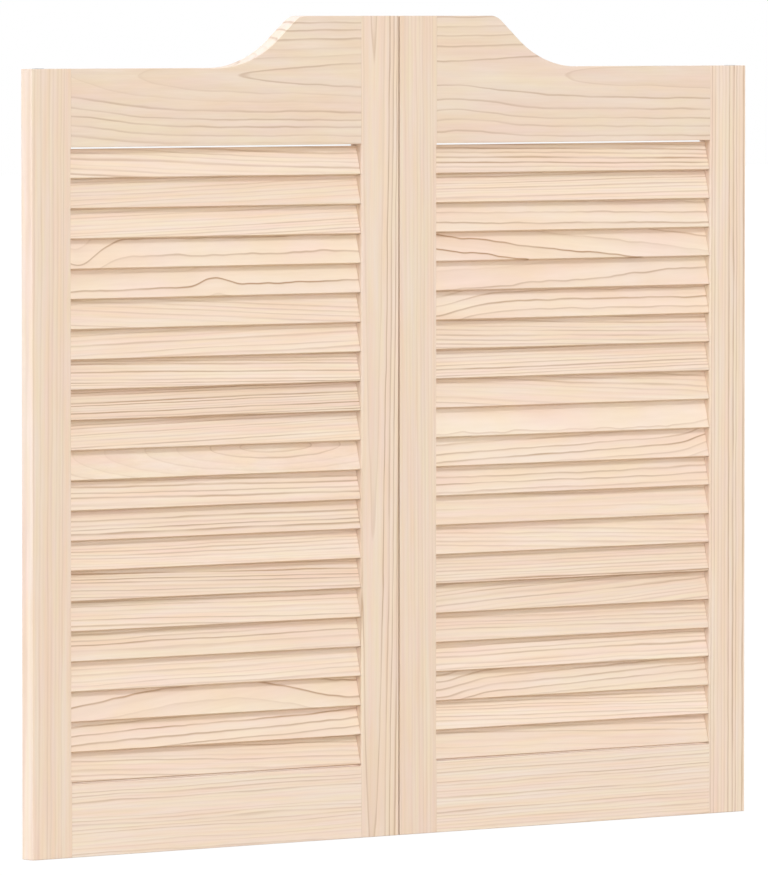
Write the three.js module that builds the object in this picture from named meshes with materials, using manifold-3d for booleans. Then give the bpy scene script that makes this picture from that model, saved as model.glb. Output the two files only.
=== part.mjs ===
// A pair of louvred cafe doors. Two pine leaves hang side by side on concealed pivots in their outer
// stiles, swing both ways and come back to closed.
// Millimetres, +Z up, the front faces -Y. The origin is on the meeting line, at mid thickness, level with
// the ends of the lower pivot pins.
import * as THREE from "three";
import { mergeVertices } from "three/addons/utils/BufferGeometryUtils.js";
import Module from "manifold-3d";

const wasm = await Module();
wasm.setup();

// The pair
const PAIR_WIDTH = 900;
const LEAF_HEIGHT = 800;
const SHOULDER_DROP = 50;
const MEETING_GAP = 1.3;

// Stiles and rails
const OUTER_STILE_WIDTH = 47;
const MEETING_STILE_WIDTH = 47;
const STILE_THICKNESS = 17;
const OUTER_EDGE_RADIUS = 1;
const INNER_EDGE_RADIUS = 2;
const RAIL_SETBACK = 0.2;
const TOP_RAIL_HEIGHT = 74.5;
const BOTTOM_RAIL_HEIGHT = 69.8;
const TENON_THICKNESS = 6;
const TENON_SHOULDER = 10;
const TENON_TO_BORE_WALL = 4.5;

// The S-shaped cut of the top rail, from the crest beside the meeting stile down to the shoulder
const CREST_WIDTH = 116;
const CREST_RADIUS = 21.5;
const RAMP_ANGLE = THREE.MathUtils.degToRad(40);
const FOOT_RADIUS = 115;

// Louvre slats
const SLAT_COUNT = 21;
const SLAT_THICKNESS = 5.5;
const SLAT_EDGE_RADIUS = 0.5;
const SLAT_SPACING = 2;
const SLAT_OVERLAP = 3.6;
const SLAT_SETBACK = 1.6;
const TOP_SLIT = 1.6;
const BOTTOM_SLIT = 0.9;
const HOUSING_DEPTH = 8;

// Pivots
const PIVOT_INSET = 14;
const PIN_DIAMETER = 7;
const PIN_PROUD = 0.4;
const PIN_TIP = 2;
const COLLAR_HEIGHT = 4;
const COLLAR_GAP = 0.6;
const SCREW_HOLE_DIAMETER = 3.3;
const SCREW_HOLE_DEPTH = 10;
const BUSH_WALL = 2.4;
const BUSH_LENGTH = 18;

// Return spring
const WIRE_DIAMETER = 1.4;
const SPRING_TURNS = 10;
const SPRING_PITCH = 2.6;
const SPRING_CLEARANCE = 0.4;
const SPRING_LEG = 3;
const LEG_BEND = 1.3;

// Clearances
const JOINT_GAP = 0.3;
const RUNNING_GAP = 0.3;

// Facets
const EDGE_FACETS = 1;
const CURVE_FACETS = 6;
const ROUND_FACETS = 24;
const WIRE_SIDES = 5;
const STEPS_PER_TURN = 12;

// Sizes that follow from the ones above
const LEAF_WIDTH = (PAIR_WIDTH - MEETING_GAP) / 2;
const SHOULDER_HEIGHT = LEAF_HEIGHT - SHOULDER_DROP;
const RAIL_THICKNESS = STILE_THICKNESS - 2 * RAIL_SETBACK;
const OPENING_WIDTH = LEAF_WIDTH - OUTER_STILE_WIDTH - MEETING_STILE_WIDTH;
const OPENING_MIDDLE = OUTER_STILE_WIDTH + OPENING_WIDTH / 2;
const OPENING_BOTTOM = BOTTOM_RAIL_HEIGHT;
const OPENING_TOP = SHOULDER_HEIGHT - TOP_RAIL_HEIGHT;

const BUSH_BORE = PIN_DIAMETER + 2 * RUNNING_GAP;
const BUSH_DIAMETER = BUSH_BORE + 2 * BUSH_WALL;
const PIVOT_BORE = BUSH_DIAMETER + 2 * JOINT_GAP;
const COLLAR_DIAMETER = PIVOT_BORE - 2 * COLLAR_GAP;
const COLLAR_TOP = COLLAR_HEIGHT - PIN_PROUD;
const BUSH_BOTTOM = COLLAR_TOP + JOINT_GAP;
const BUSH_TOP = BUSH_BOTTOM + BUSH_LENGTH;
const BUSH_SEAT = BUSH_TOP + JOINT_GAP;

const COIL_RADIUS = PIN_DIAMETER / 2 + SPRING_CLEARANCE + WIRE_DIAMETER / 2;
const COIL_BOTTOM = BUSH_TOP + WIRE_DIAMETER + SPRING_CLEARANCE;
const COIL_TOP = COIL_BOTTOM + SPRING_TURNS * SPRING_PITCH;
const WIRE_SLOT = WIRE_DIAMETER + 2 * SPRING_CLEARANCE;
const CHAMBER_DIAMETER = 2 * (COIL_RADIUS + WIRE_DIAMETER / 2 + SPRING_CLEARANCE);
const LOWER_PIN_TOP = COIL_TOP + WIRE_DIAMETER / 2 + PIN_TIP;
const UPPER_PIN_TIP = BUSH_SEAT + PIN_TIP;

const RAIL_START = OUTER_STILE_WIDTH + JOINT_GAP;
const RAIL_END = LEAF_WIDTH - MEETING_STILE_WIDTH - JOINT_GAP;
const TENON_LENGTH = OUTER_STILE_WIDTH - PIVOT_INSET - PIVOT_BORE / 2 - TENON_TO_BORE_WALL;
const OUTER_TENON_X = OUTER_STILE_WIDTH - TENON_LENGTH;
const MEETING_TENON_X = LEAF_WIDTH - MEETING_STILE_WIDTH + TENON_LENGTH;

// Neighbouring slats lean so that their faces keep the spacing. Each reaches the overlap above the lower edge
// of the next one up, and the top one is planed down to leave the slit under the rail.
const SLAT_PITCH = (OPENING_TOP - OPENING_BOTTOM - TOP_SLIT - BOTTOM_SLIT) / SLAT_COUNT;
const SLAT_LEAN = Math.asin((SLAT_THICKNESS + SLAT_SPACING) / SLAT_PITCH);
const SLAT_FRONT = -STILE_THICKNESS / 2 + SLAT_SETBACK;
const SLAT_LENGTH = OPENING_WIDTH + 2 * (HOUSING_DEPTH - JOINT_GAP);

// Finishes
const PINE_STILE = { color: 0xecd6c3, roughness: 0.62, metalness: 0 };
const PINE_RAIL = { color: 0xeed9c4, roughness: 0.62, metalness: 0 };
const PINE_SLAT = { color: 0xead0b6, roughness: 0.62, metalness: 0 };
const STEEL = { color: 0xb4b6b8, roughness: 0.35, metalness: 1 };
const SPRING_STEEL = { color: 0x8f9296, roughness: 0.4, metalness: 1 };
const NYLON = { color: 0xe8e6de, roughness: 0.5, metalness: 0 };

// Closed solid of a geometry, for cutting and joining
function toSolid(geometry) {
  const bare = geometry.clone();
  bare.deleteAttribute("normal");
  bare.deleteAttribute("uv");
  const merged = mergeVertices(bare);
  const vertProperties = merged.attributes.position.array;
  const triVerts = new Uint32Array(merged.index.array);
  return new wasm.Manifold(new wasm.Mesh({ numProp: 3, vertProperties, triVerts }));
}

function toGeometry(solid) {
  const { vertProperties, triVerts } = solid.getMesh();
  const geometry = new THREE.BufferGeometry();
  geometry.setAttribute("position", new THREE.BufferAttribute(new Float32Array(vertProperties), 3));
  geometry.setIndex(new THREE.BufferAttribute(new Uint32Array(triVerts), 1));
  geometry.computeVertexNormals();
  return geometry;
}

function cut(geometry, cutters) {
  let solid = toSolid(geometry);
  for (const cutter of cutters) {
    solid = solid.subtract(toSolid(cutter));
  }
  return toGeometry(solid);
}

function join(geometries) {
  const [first, ...rest] = geometries.map(toSolid);
  return toGeometry(rest.reduce((whole, piece) => whole.add(piece), first));
}

// Box from its lowest to its highest corner
function boxBetween(low, high) {
  const size = high.map((value, axis) => value - low[axis]);
  const middle = high.map((value, axis) => (value + low[axis]) / 2);
  return new THREE.BoxGeometry(...size).translate(...middle);
}

function roundedRectangle(width, height, rightRadius, leftRadius = rightRadius) {
  const right = width / 2 - rightRadius;
  const left = leftRadius - width / 2;
  const rightTop = height / 2 - rightRadius;
  const leftTop = height / 2 - leftRadius;
  const quarter = Math.PI / 2;
  const outline = new THREE.Shape();
  outline.absarc(right, rightTop, rightRadius, 0, quarter);
  outline.absarc(left, leftTop, leftRadius, quarter, 2 * quarter);
  outline.absarc(left, -leftTop, leftRadius, 2 * quarter, 3 * quarter);
  outline.absarc(right, -rightTop, rightRadius, 3 * quarter, 4 * quarter);
  outline.closePath();
  return outline;
}

function extrude(outline, depth, curveSegments) {
  return new THREE.ExtrudeGeometry(outline, { depth, curveSegments, bevelEnabled: false });
}

// Turned piece about +Z, from its profile of radius and height
function turned(profile) {
  const points = profile.map(([radius, height]) => new THREE.Vector2(radius, height));
  return new THREE.LatheGeometry(points, ROUND_FACETS).rotateX(Math.PI / 2);
}

function named(name, geometry, finish) {
  const mesh = new THREE.Mesh(geometry, new THREE.MeshStandardMaterial(finish));
  mesh.name = name;
  return mesh;
}

// A leaf is drawn with x from its outer edge towards the meeting edge and z from its lower end.

// Louvre slats

// Width and middle of a slat, counted from the bottom
function slatPlace(index) {
  const planed = index === SLAT_COUNT - 1;
  const rise = planed ? SLAT_PITCH : SLAT_PITCH + SLAT_OVERLAP;
  const coreThickness = SLAT_THICKNESS - 2 * SLAT_EDGE_RADIUS;
  const coreRise = rise - 2 * SLAT_EDGE_RADIUS;
  const coreWidth = (coreRise - coreThickness * Math.sin(SLAT_LEAN)) / Math.cos(SLAT_LEAN);
  const coreDepth = coreWidth * Math.sin(SLAT_LEAN) + coreThickness * Math.cos(SLAT_LEAN);
  return {
    width: coreWidth + 2 * SLAT_EDGE_RADIUS,
    y: SLAT_FRONT + SLAT_EDGE_RADIUS + coreDepth / 2,
    z: OPENING_BOTTOM + BOTTOM_SLIT + index * SLAT_PITCH + rise / 2,
  };
}

function slatBar(width, length, grow) {
  const outline = roundedRectangle(width + 2 * grow, SLAT_THICKNESS + 2 * grow, SLAT_EDGE_RADIUS + grow);
  return extrude(outline, length, EDGE_FACETS)
    .translate(0, 0, -length / 2)
    .rotateY(Math.PI / 2);
}

// Slats are numbered from the top.
function makeSlats(side) {
  const slats = [];
  for (let index = 0; index < SLAT_COUNT; index += 1) {
    const { width, y, z } = slatPlace(index);
    const number = String(SLAT_COUNT - index).padStart(2, "0");
    const slat = named(`${side}_slat_${number}`, slatBar(width, SLAT_LENGTH, 0), PINE_SLAT);
    slat.rotation.x = -SLAT_LEAN;
    slat.position.set(OPENING_MIDDLE, y, z);
    slats.push(slat);
  }
  return slats;
}

// Sloping housings for both ends of every slat
function slatHousings() {
  const housings = [];
  for (let index = 0; index < SLAT_COUNT; index += 1) {
    const { width, y, z } = slatPlace(index);
    const bar = slatBar(width, OPENING_WIDTH + 2 * HOUSING_DEPTH, JOINT_GAP);
    housings.push(bar.rotateX(-SLAT_LEAN).translate(OPENING_MIDDLE, y, z));
  }
  return housings;
}

// Rails

// A tenon is a bar that starts inside the rail. The gap grows it into the cutter for its mortise.
function tenon(fromX, toX, bottom, top, gap) {
  const y = TENON_THICKNESS / 2 + gap;
  return boxBetween([fromX - gap, -y, bottom - gap], [toX + gap, y, top + gap]);
}

function bottomTenon(gap) {
  const top = BOTTOM_RAIL_HEIGHT - TENON_SHOULDER;
  return tenon(OUTER_TENON_X, MEETING_TENON_X, TENON_SHOULDER, top, gap);
}

function topOuterTenon(gap) {
  const top = SHOULDER_HEIGHT - TENON_SHOULDER;
  return tenon(OUTER_TENON_X, RAIL_START + TENON_LENGTH, OPENING_TOP + TENON_SHOULDER, top, gap);
}

function topMeetingTenon(gap) {
  const top = LEAF_HEIGHT - TENON_SHOULDER;
  return tenon(RAIL_END - TENON_LENGTH, MEETING_TENON_X, OPENING_TOP + TENON_SHOULDER, top, gap);
}

function makeBottomRail(side) {
  const y = RAIL_THICKNESS / 2;
  const board = boxBetween([RAIL_START, -y, 0], [RAIL_END, y, BOTTOM_RAIL_HEIGHT]);
  return named(`${side}_bottom_rail`, join([board, bottomTenon(0)]), PINE_RAIL);
}

// The crest rounds over into a straight ramp, which runs out on the shoulder in a wide hollow.
function topRailOutline() {
  const roundedDrop = (CREST_RADIUS + FOOT_RADIUS) * (1 - Math.cos(RAMP_ANGLE));
  const rampLength = (SHOULDER_DROP - roundedDrop) / Math.sin(RAMP_ANGLE);
  const crestX = LEAF_WIDTH - CREST_WIDTH;
  const roundedRun = (CREST_RADIUS + FOOT_RADIUS) * Math.sin(RAMP_ANGLE);
  const footX = crestX - roundedRun - rampLength * Math.cos(RAMP_ANGLE);
  const down = -Math.PI / 2;
  const up = Math.PI / 2;
  const outline = new THREE.Shape();
  outline.moveTo(RAIL_START, OPENING_TOP);
  outline.lineTo(RAIL_END, OPENING_TOP);
  outline.lineTo(RAIL_END, LEAF_HEIGHT);
  outline.lineTo(crestX, LEAF_HEIGHT);
  outline.absarc(crestX, LEAF_HEIGHT - CREST_RADIUS, CREST_RADIUS, up, up + RAMP_ANGLE);
  outline.absarc(footX, SHOULDER_HEIGHT + FOOT_RADIUS, FOOT_RADIUS, down + RAMP_ANGLE, down, true);
  outline.lineTo(RAIL_START, SHOULDER_HEIGHT);
  outline.closePath();
  return outline;
}

function makeTopRail(side) {
  const board = extrude(topRailOutline(), RAIL_THICKNESS, CURVE_FACETS)
    .translate(0, 0, -RAIL_THICKNESS / 2)
    .rotateX(Math.PI / 2);
  return named(`${side}_top_rail`, join([board, topOuterTenon(0), topMeetingTenon(0)]), PINE_RAIL);
}

// Stiles

function stileBoard(startX, width, height, lowRadius, highRadius) {
  const outline = roundedRectangle(width, STILE_THICKNESS, highRadius, lowRadius);
  return extrude(outline, height, EDGE_FACETS).translate(startX + width / 2, 0, 0);
}

// Stepped pivot bores: the lower one ends in the spring's chamber, the upper one in room for the pin's tip.
function pivotBores() {
  const lower = turned([
    [0, -PIN_PROUD],
    [PIVOT_BORE / 2, -PIN_PROUD],
    [PIVOT_BORE / 2, BUSH_SEAT],
    [CHAMBER_DIAMETER / 2, BUSH_SEAT],
    [CHAMBER_DIAMETER / 2, LOWER_PIN_TOP + RUNNING_GAP],
    [0, LOWER_PIN_TOP + RUNNING_GAP],
  ]);
  const upper = turned([
    [0, -UPPER_PIN_TIP - RUNNING_GAP],
    [BUSH_BORE / 2, -UPPER_PIN_TIP - RUNNING_GAP],
    [BUSH_BORE / 2, -BUSH_SEAT],
    [PIVOT_BORE / 2, -BUSH_SEAT],
    [PIVOT_BORE / 2, PIN_PROUD],
    [0, PIN_PROUD],
  ]);
  return [lower.translate(PIVOT_INSET, 0, 0), upper.translate(PIVOT_INSET, 0, SHOULDER_HEIGHT)];
}

function makeOuterStile(side, housings) {
  const mortises = [bottomTenon(JOINT_GAP), topOuterTenon(JOINT_GAP)];
  const cutters = [...housings, ...mortises, ...pivotBores()];
  const board = stileBoard(0, OUTER_STILE_WIDTH, SHOULDER_HEIGHT, OUTER_EDGE_RADIUS, INNER_EDGE_RADIUS);
  return named(`${side}_outer_stile`, cut(board, cutters), PINE_STILE);
}

function makeMeetingStile(side, housings) {
  const startX = LEAF_WIDTH - MEETING_STILE_WIDTH;
  const board = stileBoard(startX, MEETING_STILE_WIDTH, LEAF_HEIGHT, INNER_EDGE_RADIUS, OUTER_EDGE_RADIUS);
  const cutters = [...housings, bottomTenon(JOINT_GAP), topMeetingTenon(JOINT_GAP)];
  return named(`${side}_meeting_stile`, cut(board, cutters), PINE_STILE);
}

// Pivots, drawn about their own axis with z from the stile's end into the wood

function pinBlank(length) {
  const hole = SCREW_HOLE_DIAMETER / 2;
  return turned([
    [0, SCREW_HOLE_DEPTH - PIN_PROUD],
    [hole, SCREW_HOLE_DEPTH - PIN_PROUD],
    [hole, -PIN_PROUD],
    [COLLAR_DIAMETER / 2, -PIN_PROUD],
    [COLLAR_DIAMETER / 2, COLLAR_TOP],
    [PIN_DIAMETER / 2, COLLAR_TOP],
    [PIN_DIAMETER / 2, length],
    [0, length],
  ]);
}

// The lower pin's tip is slotted for the upper end of the spring.
function lowerPin() {
  const slotFloor = COIL_TOP - WIRE_DIAMETER / 2 - SPRING_CLEARANCE;
  const slot = boxBetween(
    [-PIN_DIAMETER, -WIRE_SLOT / 2, slotFloor],
    [PIN_DIAMETER, WIRE_SLOT / 2, LOWER_PIN_TOP + PIN_TIP],
  );
  return cut(pinBlank(LOWER_PIN_TOP), [slot]);
}

// The bush is notched for the lower leg of the spring.
function bush() {
  const ring = turned([
    [BUSH_BORE / 2, BUSH_BOTTOM],
    [BUSH_DIAMETER / 2, BUSH_BOTTOM],
    [BUSH_DIAMETER / 2, BUSH_TOP],
    [BUSH_BORE / 2, BUSH_TOP],
    [BUSH_BORE / 2, BUSH_BOTTOM],
  ]);
  const notch = boxBetween(
    [0, -WIRE_SLOT / 2, BUSH_TOP - SPRING_LEG - SPRING_CLEARANCE],
    [BUSH_DIAMETER, WIRE_SLOT / 2, BUSH_TOP + SPRING_CLEARANCE],
  );
  return cut(ring, [notch]);
}

// The wire stands in the bush's notch, bends into the coil, climbs round the pin and ends across its slot.
function springPath() {
  const points = [
    new THREE.Vector3(COIL_RADIUS, 0, BUSH_TOP - SPRING_LEG),
    new THREE.Vector3(COIL_RADIUS, 0, COIL_BOTTOM - LEG_BEND),
    new THREE.Vector3(COIL_RADIUS, LEG_BEND / 3, COIL_BOTTOM - LEG_BEND / 3),
  ];
  const bendAngle = LEG_BEND / COIL_RADIUS;
  const steps = SPRING_TURNS * STEPS_PER_TURN;
  for (let step = 0; step <= steps; step += 1) {
    const share = step / steps;
    const angle = bendAngle + share * (SPRING_TURNS * 2 * Math.PI - 2 * bendAngle);
    const height = COIL_BOTTOM + share * (COIL_TOP - COIL_BOTTOM);
    points.push(new THREE.Vector3(COIL_RADIUS * Math.cos(angle), COIL_RADIUS * Math.sin(angle), height));
  }
  points.push(new THREE.Vector3(COIL_RADIUS - LEG_BEND / 3, -LEG_BEND / 3, COIL_TOP));
  points.push(new THREE.Vector3(COIL_RADIUS - LEG_BEND, 0, COIL_TOP));
  points.push(new THREE.Vector3(-PIN_DIAMETER / 2, 0, COIL_TOP));
  return points;
}

// Least gap between the wire's skins on two neighbouring turns
function leastTurnGap(points) {
  let least = Infinity;
  for (let first = 0; first < points.length; first += 1) {
    for (let second = first + STEPS_PER_TURN / 2; second < points.length; second += 1) {
      least = Math.min(least, points[first].distanceTo(points[second]));
    }
  }
  return least - WIRE_DIAMETER;
}

// Round wire through the points, closed at both ends. Each ring's frame is carried on from the last.
function wireAlong(points) {
  const positions = [];
  const indices = [];
  const tangents = points.map((point, index) => {
    const before = points[Math.max(index - 1, 0)];
    const after = points[Math.min(index + 1, points.length - 1)];
    return after.clone().sub(before).normalize();
  });
  let normal = new THREE.Vector3(1, 0, 0);
  points.forEach((point, index) => {
    const tangent = tangents[index];
    normal = normal.clone().addScaledVector(tangent, -normal.dot(tangent)).normalize();
    const binormal = tangent.clone().cross(normal);
    for (let corner = 0; corner < WIRE_SIDES; corner += 1) {
      const angle = (corner / WIRE_SIDES) * 2 * Math.PI;
      const rim = point.clone();
      rim.addScaledVector(normal, (WIRE_DIAMETER / 2) * Math.cos(angle));
      rim.addScaledVector(binormal, (WIRE_DIAMETER / 2) * Math.sin(angle));
      positions.push(rim.x, rim.y, rim.z);
    }
  });
  const lastRing = (points.length - 1) * WIRE_SIDES;
  for (let ring = 0; ring < lastRing; ring += WIRE_SIDES) {
    for (let corner = 0; corner < WIRE_SIDES; corner += 1) {
      const next = (corner + 1) % WIRE_SIDES;
      indices.push(ring + corner, ring + next, ring + WIRE_SIDES + corner);
      indices.push(ring + next, ring + WIRE_SIDES + next, ring + WIRE_SIDES + corner);
    }
  }
  for (let corner = 1; corner < WIRE_SIDES - 1; corner += 1) {
    indices.push(0, corner + 1, corner);
    indices.push(lastRing, lastRing + corner, lastRing + corner + 1);
  }
  const geometry = new THREE.BufferGeometry();
  geometry.setAttribute("position", new THREE.Float32BufferAttribute(positions, 3));
  geometry.setIndex(indices);
  geometry.computeVertexNormals();
  return geometry;
}

function makeLowerPivot(side, path) {
  const pivot = new THREE.Group();
  pivot.position.set(PIVOT_INSET, 0, 0);
  pivot.add(named(`${side}_lower_pivot_pin`, lowerPin(), STEEL));
  pivot.add(named(`${side}_lower_bush`, bush(), NYLON));
  pivot.add(named(`${side}_return_spring`, wireAlong(path), SPRING_STEEL));
  return pivot;
}

// The upper pivot is the lower one turned upside down, with a short pin and no spring.
function makeUpperPivot(side) {
  const pivot = new THREE.Group();
  pivot.position.set(PIVOT_INSET, 0, SHOULDER_HEIGHT);
  pivot.rotation.x = Math.PI;
  pivot.add(named(`${side}_upper_pivot_pin`, pinBlank(UPPER_PIN_TIP), STEEL));
  pivot.add(named(`${side}_upper_bush`, bush(), NYLON));
  return pivot;
}

function makeLeaf(side, path) {
  const leaf = new THREE.Group();
  const housings = slatHousings();
  leaf.add(makeOuterStile(side, housings), makeMeetingStile(side, housings));
  leaf.add(makeTopRail(side), makeBottomRail(side), ...makeSlats(side));
  leaf.add(makeLowerPivot(side, path), makeUpperPivot(side));
  return leaf;
}

const wirePath = springPath();
console.log(`least gap between spring turns: ${leastTurnGap(wirePath).toFixed(2)} mm`);

// The right leaf is the left one mirrored.
const doors = new THREE.Group();
const leftLeaf = makeLeaf("left", wirePath);
leftLeaf.position.set(-PAIR_WIDTH / 2, 0, PIN_PROUD);
const rightLeaf = makeLeaf("right", wirePath);
rightLeaf.position.set(PAIR_WIDTH / 2, 0, PIN_PROUD);
rightLeaf.scale.x = -1;
doors.add(leftLeaf, rightLeaf);

export default doors;
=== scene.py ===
import math
import random
from collections import namedtuple

import bmesh
import bpy
from mathutils import Matrix, Vector


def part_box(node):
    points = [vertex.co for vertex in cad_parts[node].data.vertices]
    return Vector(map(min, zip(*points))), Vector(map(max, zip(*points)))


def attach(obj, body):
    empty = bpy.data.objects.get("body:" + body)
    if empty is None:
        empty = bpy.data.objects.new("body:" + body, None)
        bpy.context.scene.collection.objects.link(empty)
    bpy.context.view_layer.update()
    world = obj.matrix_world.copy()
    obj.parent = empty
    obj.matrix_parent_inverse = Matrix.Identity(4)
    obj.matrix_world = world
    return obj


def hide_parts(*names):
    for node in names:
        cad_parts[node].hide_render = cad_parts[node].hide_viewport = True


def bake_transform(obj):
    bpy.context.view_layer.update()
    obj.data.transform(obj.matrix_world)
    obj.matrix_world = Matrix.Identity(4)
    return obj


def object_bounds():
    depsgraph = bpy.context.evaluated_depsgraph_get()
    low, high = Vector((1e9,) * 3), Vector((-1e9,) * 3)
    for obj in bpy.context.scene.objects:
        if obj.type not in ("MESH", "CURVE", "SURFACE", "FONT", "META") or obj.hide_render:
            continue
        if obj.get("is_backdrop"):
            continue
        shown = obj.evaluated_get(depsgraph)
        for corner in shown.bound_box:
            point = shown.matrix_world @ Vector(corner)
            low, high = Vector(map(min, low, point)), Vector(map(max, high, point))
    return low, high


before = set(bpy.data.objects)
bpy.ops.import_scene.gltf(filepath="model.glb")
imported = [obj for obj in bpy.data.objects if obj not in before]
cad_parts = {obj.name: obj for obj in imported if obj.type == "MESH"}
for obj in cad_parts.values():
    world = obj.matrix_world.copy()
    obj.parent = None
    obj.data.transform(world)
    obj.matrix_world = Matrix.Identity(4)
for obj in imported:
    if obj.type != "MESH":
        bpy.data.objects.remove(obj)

bl_info = {
    "name": "Louvred cafe doors",
    "version": (1, 0, 0),
    "blender": (4, 5, 0),
    "location": "View3D > Sidebar > Cafe doors",
    "description": "Builds the boards, slats, pivots, springs and stage of a pair of louvred cafe doors",
    "category": "Object",
}

# Lengths are metres. The front of the doors faces -Y, and the right leaf is the left one mirrored in X.
MM = 0.001
SIDES = ("left", "right")
MIRROR = Matrix.Scale(-1, 4, (1, 0, 0))
CAD_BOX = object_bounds()

# Measures of the left leaf, taken from its CAD pieces
STILE_LOW, STILE_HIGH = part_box("left_outer_stile")
MEETING_LOW, MEETING_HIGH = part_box("left_meeting_stile")
TOP_RAIL_LOW, TOP_RAIL_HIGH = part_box("left_top_rail")
BOTTOM_RAIL_LOW, BOTTOM_RAIL_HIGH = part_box("left_bottom_rail")
SLAT_NODES = sorted(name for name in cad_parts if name.startswith("left_slat_"))
LOWEST_SLAT = sum(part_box(SLAT_NODES[-1]), Vector()) / 2
SLAT_ABOVE = sum(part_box(SLAT_NODES[-2]), Vector()) / 2
SLAT_PITCH = SLAT_ABOVE.z - LOWEST_SLAT.z
SLAT_ENDS = [corner.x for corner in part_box(SLAT_NODES[0])]


def length(name, description, millimetres):
    """A size in millimetres, kept as a length property."""
    return bpy.props.FloatProperty(
        name=name, description=description, default=millimetres * MM, min=0, precision=5, unit="LENGTH"
    )


def angle(name, description, degrees):
    return bpy.props.FloatProperty(
        name=name, description=description, default=math.radians(degrees), precision=3, subtype="ANGLE"
    )


def amount(name, description, value):
    return bpy.props.FloatProperty(name=name, description=description, default=value, precision=3)


def colour(name, description, red, green, blue):
    """A colour from its sRGB bytes."""
    linear = []
    for byte in (red, green, blue):
        share = byte / 255
        linear.append(share / 12.92 if share <= 0.04045 else ((share + 0.055) / 1.055) ** 2.4)
    return bpy.props.FloatVectorProperty(
        name=name, description=description, default=linear, min=0, max=1, subtype="COLOR"
    )


class CafeBoardSizes(bpy.types.PropertyGroup):
    """Sizes of the stiles and rails that their boxes do not give."""

    outer_radius: length("Outer edge radius", "Rounding along the stile's edges away from the slats", 1)
    inner_radius: length("Inner edge radius", "Rounding along the stile's edges beside the slats", 2)
    round_stop: length("Round stop", "Run-out of that rounding where the rails begin", 3)
    arris: length("Arris", "Small bevel round the ends of the stiles and the faces of the rails", 0.4)
    joint_gap: length("Joint gap", "Clearance between a tenon or slat and the wood round it", 0.3)
    butt_gap: length("Butt gap", "Hairline between a rail's end and the stile", 0.05)
    rail_thickness: length("Rail thickness", "Thickness of both rails", 16.6)
    tenon_thickness: length("Tenon thickness", "Thickness of the stub tenons", 6)
    tenon_shoulder: length("Tenon shoulder", "Step from the rail's edge to its tenon", 10)
    shoulder_drop: length("Shoulder drop", "Drop from the crest to the shoulder", 50)
    crest_width: length("Crest width", "From the meeting edge to where the crest rounds over", 116)
    crest_radius: length("Crest radius", "Rounding of the crest into the ramp", 21.5)
    ramp_angle: angle("Ramp angle", "Slope of the ramp between crest and shoulder", 40)
    foot_radius: length("Foot radius", "Hollow where the ramp runs out on the shoulder", 115)


class CafeSlatSizes(bpy.types.PropertyGroup):
    """Sizes of the louvre slats."""

    thickness: length("Slat thickness", "Thickness of a slat", 5.5)
    edge_radius: length("Slat edge radius", "Rounding along the slat's edges", 0.5)
    spacing: length("Slat spacing", "Gap between the faces of neighbouring slats", 2)
    overlap: length("Slat overlap", "How far a slat reaches above the nose of the next one up", 3.6)
    lean_play: angle("Lean play", "Most that a slat turns in its housing", 0.25)
    seed: bpy.props.IntProperty(name="Seed", description="Seed of the slats' lean and grain", default=11)


class CafePivotSizes(bpy.types.PropertyGroup):
    """Sizes of the pivot pins, bushes and return springs."""

    pin_diameter: length("Pin diameter", "Diameter of the pivot pins", 7)
    collar_height: length("Collar height", "Height of the collar at the pin's foot", 4)
    hole_diameter: length("Screw hole", "Diameter of the screw hole in the pin's end", 3.3)
    hole_depth: length("Screw hole depth", "Depth of the screw hole", 10)
    running_gap: length("Running gap", "Clearance between the pin and its bush", 0.3)
    chamfer: length("Chamfer", "Bevel on the ends of pins and bushes", 0.5)
    wire_diameter: length("Wire diameter", "Diameter of the spring wire", 1.4)
    spring_turns: bpy.props.IntProperty(name="Turns", description="Turns of the return spring", default=10)
    spring_pitch: length("Spring pitch", "Rise of the spring in one turn", 2.6)
    spring_clearance: length("Spring clearance", "Room round the spring wire", 0.4)
    spring_leg: length("Spring leg", "Straight end of the wire in the bush's notch", 3)
    leg_bend: length("Leg bend", "Bend from the straight end into the coil", 1.3)


class CafeFinishes(bpy.types.PropertyGroup):
    """Colours of the wood and the pivots."""

    stile_wood: colour("Stile wood", "Pale wood of the stiles", 241, 226, 214)
    rail_wood: colour("Rail wood", "Pale wood of the rails", 240, 226, 215)
    slat_wood: colour("Slat wood", "Pale wood of the slats", 243, 228, 216)
    late_wood: colour("Late wood", "Dark line that ends a year ring", 182, 146, 114)
    blush: colour("Blush", "Tint of the pinker patches, against the pale wood", 255, 245, 244)
    straw: colour("Straw", "Tint of the yellower patches, against the pale wood", 255, 255, 243)
    steel: colour("Pivot steel", "Zinc plated steel of the pins", 182, 184, 186)
    wire: colour("Spring wire", "Oiled spring wire", 143, 146, 150)
    nylon: colour("Bush nylon", "Natural nylon of the bushes", 232, 230, 222)


class CafeStage(bpy.types.PropertyGroup):
    """The camera and the studio."""

    yaw: angle("Camera yaw", "How far the camera stands to the left of the doors' front", 39.374)
    pitch: angle("Camera pitch", "How far the camera looks down", 2.531)
    distance: length("Camera distance", "From the camera to the point that it looks at", 9492)
    aim_across: length("Aim across", "The aimed point, left of the meeting line", 12.45)
    aim_height: length("Aim height", "The aimed point above the floor", 388.87)
    lens: amount("Lens", "Focal length in millimetres on a 36 mm frame", 399.86)
    floor_size: length("Floor size", "Side of the floor", 60000)
    sky: amount("Sky strength", "Light that comes from all round", 0.6)
    key: amount("Key strength", "Light from above the front", 0.82)
    fill: amount("Fill strength", "Soft light from the front, low down", 0.88)
    side: amount("Side strength", "Soft light from the left", 2.6)
    back: amount("Back strength", "Soft light from behind", 0.5)


# Nodes

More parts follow.
